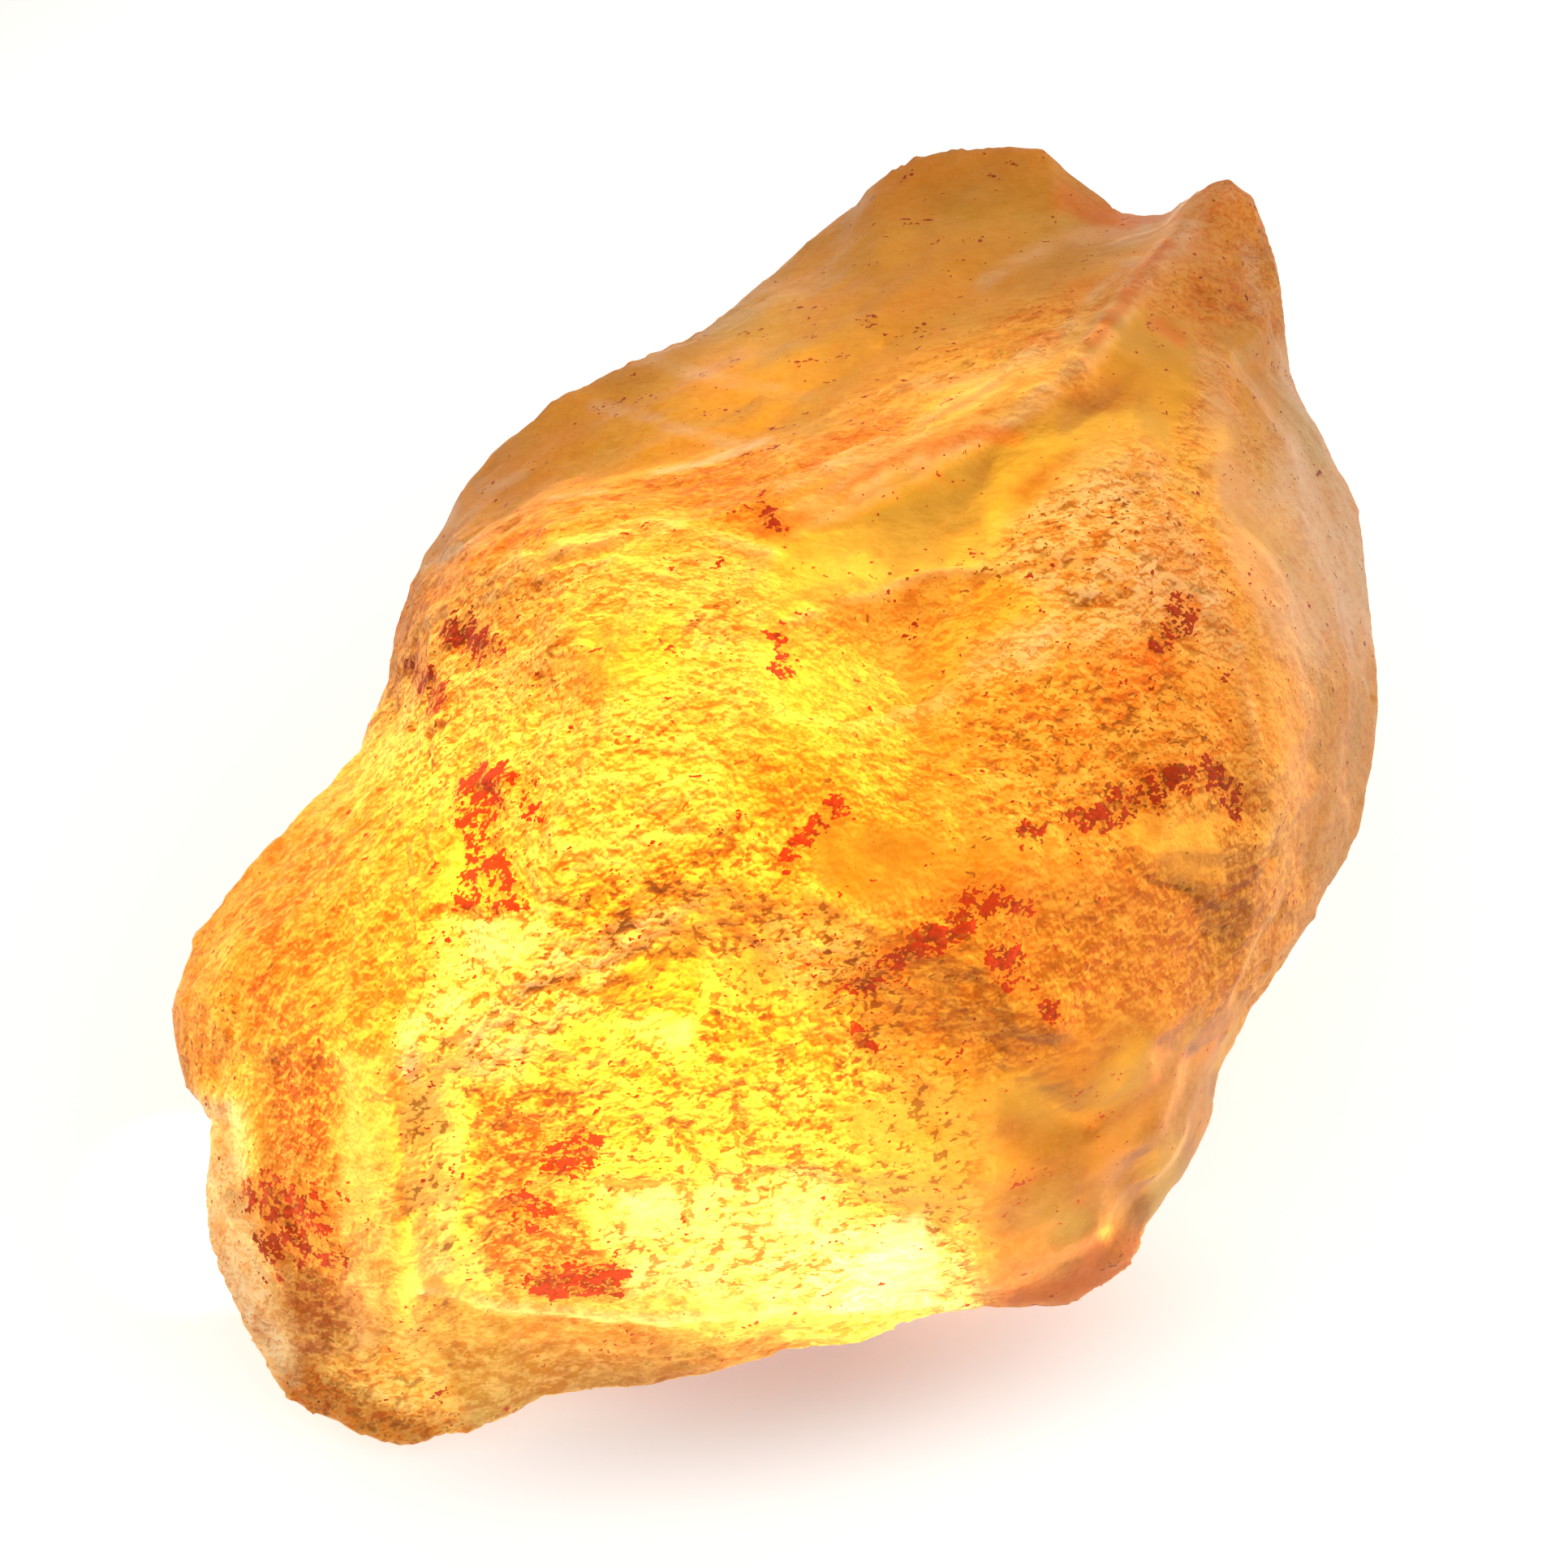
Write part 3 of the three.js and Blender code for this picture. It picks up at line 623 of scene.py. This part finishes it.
make_camera()
mesh = fine_copy(bpy.data.objects["sapphire"])
points = vertex_values(mesh, "co")
normals = vertex_values(mesh, "normal")
surface = Surface(points, normals)
points = points + carve(points, surface)[:, None] * normals
low, high = (np.array(corner) / MM for corner in cad_box)
points = np.clip(points, low, high)
mesh.vertices.foreach_set("co", (points * MM).ravel())
mesh.update()
for name in ("smooth", "milky", "stain", "ore", "edge", "crack", "cracked", "flake", "mottle",
             "slope"):
    mesh.attributes.new(name, "FLOAT", "POINT").data.foreach_set("value", getattr(surface, name))
for name in ("tint", "grain"):
    data = mesh.attributes.new(name, "FLOAT_VECTOR", "POINT").data
    data.foreach_set("vector", getattr(surface, name).ravel())
print("triangles", sum(len(polygon.vertices) - 2 for polygon in mesh.polygons))

stone = bpy.data.objects.new("sapphire_stone", mesh)
bpy.context.scene.collection.objects.link(stone)
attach(stone, "root")
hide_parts("sapphire")

# ---- material -------------------------------------------------------------------------------


class Graph:
    """Short ways to add nodes and links to a shader tree."""

    def __init__(self, tree):
        self.tree = tree

    def put(self, socket, value):
        if isinstance(value, bpy.types.NodeSocket):
            self.tree.links.new(value, socket)
        elif socket.type == "RGBA":
            socket.default_value = (*value, 1.0)
        else:
            socket.default_value = value

    def node(self, kind, inputs, **settings):
        node = self.tree.nodes.new("ShaderNode" + kind)
        for key, value in settings.items():
            setattr(node, key, value)
        for key, value in inputs.items():
            self.put(node.inputs[key], value)
        return node

    def attribute(self, name, output="Fac"):
        return self.node("Attribute", {}, attribute_name=name).outputs[output]

    def math(self, operation, *values):
        return self.node("Math", dict(enumerate(values)), operation=operation).outputs[0]

    def step(self, value, low, high):
        inputs = {"Value": value, "From Min": low, "From Max": high}
        node = self.node("MapRange", inputs, interpolation_type="SMOOTHSTEP")
        return node.outputs["Result"]

    def band(self, value, level, half_width):
        """1 where the value is at the level, 0 where it is half a width or more away."""
        away = self.math("ABSOLUTE", self.math("SUBTRACT", value, level))
        return self.step(away, half_width, 0.2 * half_width)

    def mix(self, amount, first, second, blend_type="MIX"):
        inputs = {"Fac": amount, "Color1": first, "Color2": second}
        return self.node("MixRGB", inputs, blend_type=blend_type).outputs["Color"]

    def noise(self, place, size, detail=2.0, roughness=0.5, output="Fac"):
        inputs = {"Vector": place, "Scale": 1 / size, "Detail": detail, "Roughness": roughness}
        return self.node("TexNoise", inputs).outputs[output]


SHADED = (0.90, 0.62, 0.42)             # what the darker patches and chips, and the painted shade on sunk flakes, multiply the colour by
IN_SHADE = (0.76, 0.40, 0.18)           # and the painted shaded sides of crinkles
SUNLIT = (0.35, 0.225, 0.07)            # what is screened over the painted lit sides, the raised flakes' painted light and the paler chips
SKIN_ROUGHNESS = 0.66
SMOOTHER = 0.28                         # how much less of it the smooth patches have
REFLECTION_TINT = (1.0, 0.72, 0.22, 1.0)    # a film of iron oxide warms what the skin reflects
ABSORPTION = (0.980, 0.928, 0.70, 1.0)
ABSORPTION_DENSITY = 1150.0             # per metre
TRANSMISSION = 0.75
MILKY_LOSS = 0.30                       # how much of it the milky places lose
SAPPHIRE_IOR = 1.77

# Sizes in mm.
CRINKLE_SIZE = 0.15
GRIT_SIZE = 0.05
CHIP_SIZE = 0.10
JITTER_SIZE = 0.08                      # the chips' outlines are shaken by noise of this size
JITTER_REACH = 0.16                     # by up to this much
CRINKLE_REACH = 0.035                   # how far up the crinkle is compared with itself, for its painted lit and shaded sides
BUMP_HEIGHT = 0.07

# Where a noise or a value begins to make a mark, and where the mark is full.
DULL = (0.52, 0.42)
FLAKE_DARK = (0.0, -0.45)
FLAKE_PALE = (0.1, 0.5)
CHIP_DARK = (0.45, 0.95)
CHIP_PALE = (0.55, 0.95)
LIT = (0.035, 0.055)
SHADY = (-0.035, -0.055)
HALO = (0.1, 0.9)
RED_EDGE = (0.80, 0.88)
RED_CRUMBS = (0.48, 0.52)
LINE_PLACES = (0.54, 0.48)
EDGE_PLACES = (0.50, 0.40)
EDGE_LINE = (0.35, 0.85)
NET_PLACES = (0.54, 0.46)
CRUMBS = (0.41, 0.38)
NOT_MILKY = (0.45, 0.3)
CRACK_EDGE = (0.65, 0.85)
SPECK_CHANCE = (0.90, 0.93)
SPECK_EDGE = (0.36, 0.26)

# How strongly the marks cover the ground.
DULL_COVER = 0.7
HALO_COVER = 0.65
LINE_COVER = 0.85


def honey_sapphire():
    material = bpy.data.materials.new("honey_sapphire_skin")
    material.use_nodes = True
    graph = Graph(material.node_tree)
    skin = material.node_tree.nodes["Principled BSDF"]
    grain = graph.attribute("grain", "Vector")
    mottle = graph.attribute("mottle")
    crinkle = graph.noise(grain, CRINKLE_SIZE, 2.0, 0.65)
    grit = graph.noise(grain, GRIT_SIZE, 1.0, 0.6)
    smooth = graph.attribute("smooth")
    rough = graph.math("SUBTRACT", 1.0, graph.math("MULTIPLY", smooth, 0.95))

    def on_rough(amount):
        return graph.math("MULTIPLY", amount, rough)

    def swing(value, amount):
        """How far a noise is from its middle, times an amount."""
        return graph.math("MULTIPLY", graph.math("SUBTRACT", value, 0.5), amount)

    # Patches a little darker than the ground.
    colour = graph.attribute("tint", "Color")
    dull = graph.math("MULTIPLY", on_rough(graph.step(mottle, *DULL)), DULL_COVER)
    colour = graph.mix(dull, colour, SHADED, "MULTIPLY")

    # Flakes painted darker where they sink and paler where they stand up, painted shade and light on
    # their tilt; finer chips, each a random tone a little lighter or darker than their neighbours.
    jitter = graph.noise(grain, JITTER_SIZE, 0.0, 0.5, "Color")
    jitter = graph.node("VectorMath", {0: jitter, "Scale": JITTER_REACH}, operation="SCALE")
    shaken = graph.node("VectorMath", {0: grain, 1: jitter.outputs[0]}, operation="ADD").outputs[0]
    chips = graph.node("TexVoronoi", {"Vector": shaken, "Scale": 1 / CHIP_SIZE})
    chance = graph.node("SeparateXYZ", {"Vector": chips.outputs["Color"]})
    flake = graph.attribute("flake")
    for dark, pale in ((graph.step(flake, *FLAKE_DARK), graph.step(flake, *FLAKE_PALE)),
                       (graph.step(chance.outputs["X"], *CHIP_DARK),
                        graph.step(chance.outputs["Y"], *CHIP_PALE))):
        colour = graph.mix(on_rough(dark), colour, SHADED, "MULTIPLY")
        colour = graph.mix(on_rough(pale), colour, SUNLIT, "SCREEN")

    # Painted light and shade: where a noise differs from itself a little higher up the picture, a
    # painted lit or shaded side.
    step_up = tuple(CRINKLE_REACH * VIEW_UP)
    higher = graph.node("VectorMath", {0: grain, 1: step_up}, operation="ADD").outputs[0]
    fine_painted_light_and_shade = graph.math("SUBTRACT", crinkle, graph.noise(higher, CRINKLE_SIZE, 2.0, 0.65))
    for slope in (graph.attribute("slope"), fine_painted_light_and_shade):
        colour = graph.mix(on_rough(graph.step(slope, *LIT)), colour, SUNLIT, "SCREEN")
        colour = graph.mix(on_rough(graph.step(slope, *SHADY)), colour, IN_SHADE, "MULTIPLY")

    # Red iron stains, broken into crumbs, in an orange halo.
    fray = graph.math("ADD", swing(crinkle, 3.4), swing(grit, 2.0))
    stain = graph.math("ADD", graph.attribute("stain"), swing(mottle, 4.0))
    halo = graph.math("MULTIPLY", graph.step(stain, *HALO), HALO_COVER)
    colour = graph.mix(halo, colour, RUST)
    red = graph.mix(graph.step(crinkle, *RED_CRUMBS), DARK_RED, RED)
    colour = graph.mix(graph.step(graph.math("ADD", stain, fray), *RED_EDGE), colour, red)

    # Thin broken lines, and the edges of the flakes.
    line = on_rough(graph.band(crinkle, 0.46, 0.022))
    line = graph.math("MULTIPLY", line, graph.step(mottle, *LINE_PLACES))
    edge = graph.math("MULTIPLY", graph.attribute("edge"), graph.step(crinkle, *EDGE_PLACES))
    line = graph.math("MAXIMUM", line, graph.step(edge, *EDGE_LINE))
    colour = graph.mix(graph.math("MULTIPLY", line, LINE_COVER), colour, BROWN)

    # Drawn cracks, and a net of finer ones and crumbs over the cracked part.
    cracked = graph.attribute("cracked")
    net = graph.math("MULTIPLY", graph.band(mottle, 0.5, 0.010), cracked)
    net = graph.math("MULTIPLY", net, graph.step(crinkle, *NET_PLACES))
    crumbs = graph.math("MULTIPLY", graph.step(crinkle, *CRUMBS), cracked)
    milky = graph.attribute("milky")
    fine = graph.math("MULTIPLY", graph.math("MAXIMUM", net, crumbs), graph.step(milky, *NOT_MILKY))
    frayed = graph.math("ADD", graph.attribute("crack"), graph.math("MULTIPLY", fray, 0.5))
    crack = graph.math("MAXIMUM", graph.step(frayed, *CRACK_EDGE), fine)
    colour = graph.mix(graph.math("MULTIPLY", crack, LINE_COVER), colour, UMBER)

    # Small round specks of brown ore, crowded where the ore is drawn.
    crowd = graph.math("ADD", graph.math("MULTIPLY", graph.attribute("ore"), 0.35), swing(mottle, -0.9))
    crowd = graph.math("SUBTRACT", crowd, graph.math("MULTIPLY", smooth, 0.25))
    speck = graph.step(graph.math("ADD", chance.outputs["Z"], crowd), *SPECK_CHANCE)
    speck = graph.math("MULTIPLY", speck, graph.step(chips.outputs["Distance"], *SPECK_EDGE))
    colour = graph.mix(speck, colour, BROWN)

    gloss = graph.math("ADD", SKIN_ROUGHNESS, graph.math("MULTIPLY", smooth, -SMOOTHER))
    inputs = {"Height": crinkle, "Distance": BUMP_HEIGHT * MM, "Strength": rough}
    clouding = graph.math("MULTIPLY", milky, -MILKY_LOSS)
    graph.put(skin.inputs["Normal"], graph.node("Bump", inputs).outputs[0])
    graph.put(skin.inputs["Base Color"], colour)
    graph.put(skin.inputs["Roughness"], gloss)
    graph.put(skin.inputs["Transmission Weight"], graph.math("ADD", clouding, TRANSMISSION))
    skin.inputs["IOR"].default_value = SAPPHIRE_IOR
    skin.inputs["Specular Tint"].default_value = REFLECTION_TINT
    absorb = graph.node("VolumeAbsorption", {})
    absorb.inputs["Color"].default_value = ABSORPTION
    absorb.inputs["Density"].default_value = ABSORPTION_DENSITY
    graph.put(material.node_tree.nodes["Material Output"].inputs["Volume"], absorb.outputs[0])
    return material


mesh.materials.clear()
mesh.materials.append(honey_sapphire())

# ---- table and light ------------------------------------------------------------------------

TABLE_SIZE = 2.0                        # m
WHITE_PAPER = (0.88, 0.9, 0.94)
PAPER_ROUGHNESS = 0.8
TABLE_GLOW = 0.62                       # light that comes up through the table round the stone
PANEL_EDGE = (26.0, 15.0)               # where it has faded out, and where it is full, in mm
HOT_SPOTS = [                           # lamps under the table: place in mm, radius, glow
    ((0.9, -2.7), 1.9, 2.6),
    ((2.4, -2.6), 1.5, 11.0),
    ((-1.3, -2.0), 1.7, 4.6),
    ((-2.7, -2.4), 1.7, 1.6),
    ((-3.0, -4.2), 1.4, 4.6),
    ((-4.8, -7.4), 1.7, 2.0),
    ((-3.0, -0.6), 1.9, 4.6),
    ((-3.0, 1.2), 1.9, 3.0),
    ((-4.0, 4.4), 3.2, 3.2),
    ((0.6, 4.8), 2.6, 3.6),
    ((2.1, 3.0), 2.8, 3.8),
]
SHADOW_PLACE = (2.9, -5.3)              # the soft warm shadow painted in front of the stone
SHADOW_TURN = math.radians(45)
SHADOW_REACH = (6.5, 2.2)               # half its length and half its width
SHADOW_DEPTH = 0.58
SHADOW_TINT = (1.0, 0.66, 0.50)
WARM_TENT = (1.0, 0.94, 0.78)
OVERHEAD_LIGHT = 0.55                   # the tent above 35 degrees
LEFT_LIGHT = 0.15                       # the tent low down on the left of the stone
RIGHT_LIGHT = 1.25                      # and on its right
TURN_RIGHT = (0.1, 0.9)                 # where the left light turns into the right: cosines
RISE = (0.58, 0.05)                     # and the light overhead into the low light: sines


def make_table():
    """White paper, lit from above and, softly, from below, as on a light table, with a soft warm shadow
    painted in front of the stone.
    """
    bpy.ops.mesh.primitive_plane_add(size=TABLE_SIZE)
    table = bpy.context.object
    table.name = "table"
    material = bpy.data.materials.new("white_paper")
    material.use_nodes = True
    graph = Graph(material.node_tree)
    place = graph.node("TexCoord", {}).outputs["Object"]
    inputs = {"Vector": place, "Location": (*(mm * MM for mm in SHADOW_PLACE), 0),
              "Rotation": (0, 0, SHADOW_TURN), "Scale": (*(mm * MM for mm in SHADOW_REACH), 1)}
    spread = graph.node("Mapping", inputs, vector_type="TEXTURE").outputs[0]
    shadow = graph.node("VectorMath", {0: spread}, operation="LENGTH").outputs["Value"]
    shadow = graph.math("MULTIPLY", graph.step(shadow, 1.0, 0.0), SHADOW_DEPTH)
    from_middle = graph.node("VectorMath", {0: place}, operation="LENGTH").outputs["Value"]
    panel = graph.step(from_middle, *(mm * MM for mm in PANEL_EDGE))
    strength = graph.math("MULTIPLY", graph.math("SUBTRACT", 1.0, shadow), TABLE_GLOW)
    strength = graph.math("MULTIPLY", strength, panel)
    for (x, y), radius, glow in HOT_SPOTS:
        centre = (x * MM, y * MM, 0.0)
        away = graph.node("VectorMath", {0: place, 1: centre}, operation="DISTANCE")
        hot = graph.step(away.outputs["Value"], radius * MM, 0.0)
        strength = graph.math("ADD", strength, graph.math("MULTIPLY", hot, glow))
    paper = material.node_tree.nodes["Principled BSDF"]
    # The painted shadow also darkens and warms the paper's colour.
    graph.put(paper.inputs["Base Color"], graph.mix(shadow, WHITE_PAPER, SHADOW_TINT, "MULTIPLY"))
    paper.inputs["Roughness"].default_value = PAPER_ROUGHNESS
    paper.inputs["Emission Color"].default_value = (1, 1, 1, 1)
    graph.put(paper.inputs["Emission Strength"], strength)
    material.cycles.emission_sampling = "NONE"
    table.data.materials.append(material)


def light_studio():
    """A soft white tent: bright low down on the right, dimmer overhead."""
    world = bpy.data.worlds.new("studio")
    bpy.context.scene.world = world
    world.use_nodes = True
    tent = Graph(world.node_tree)
    direction = tent.node("TexCoord", {}).outputs["Generated"]
    height = tent.node("SeparateXYZ", {"Vector": direction}).outputs["Z"]
    sideways = tent.node("VectorMath", {0: direction, 1: tuple(VIEW_RIGHT)}, operation="DOT_PRODUCT")
    side = tent.step(sideways.outputs["Value"], *TURN_RIGHT)
    low = tent.math("ADD", LEFT_LIGHT, tent.math("MULTIPLY", side, RIGHT_LIGHT - LEFT_LIGHT))
    rise = tent.step(height, *RISE)
    strength = tent.math("ADD", OVERHEAD_LIGHT, tent.math("MULTIPLY", low, rise))
    background = world.node_tree.nodes["Background"]
    tent.put(background.inputs["Color"], tent.mix(side, WARM_TENT, (1.0, 1.0, 1.0)))
    tent.put(background.inputs["Strength"], strength)
    world.cycles.sampling_method = "NONE"
    bpy.context.scene.view_settings.view_transform = "Standard"


make_table()
light_studio()
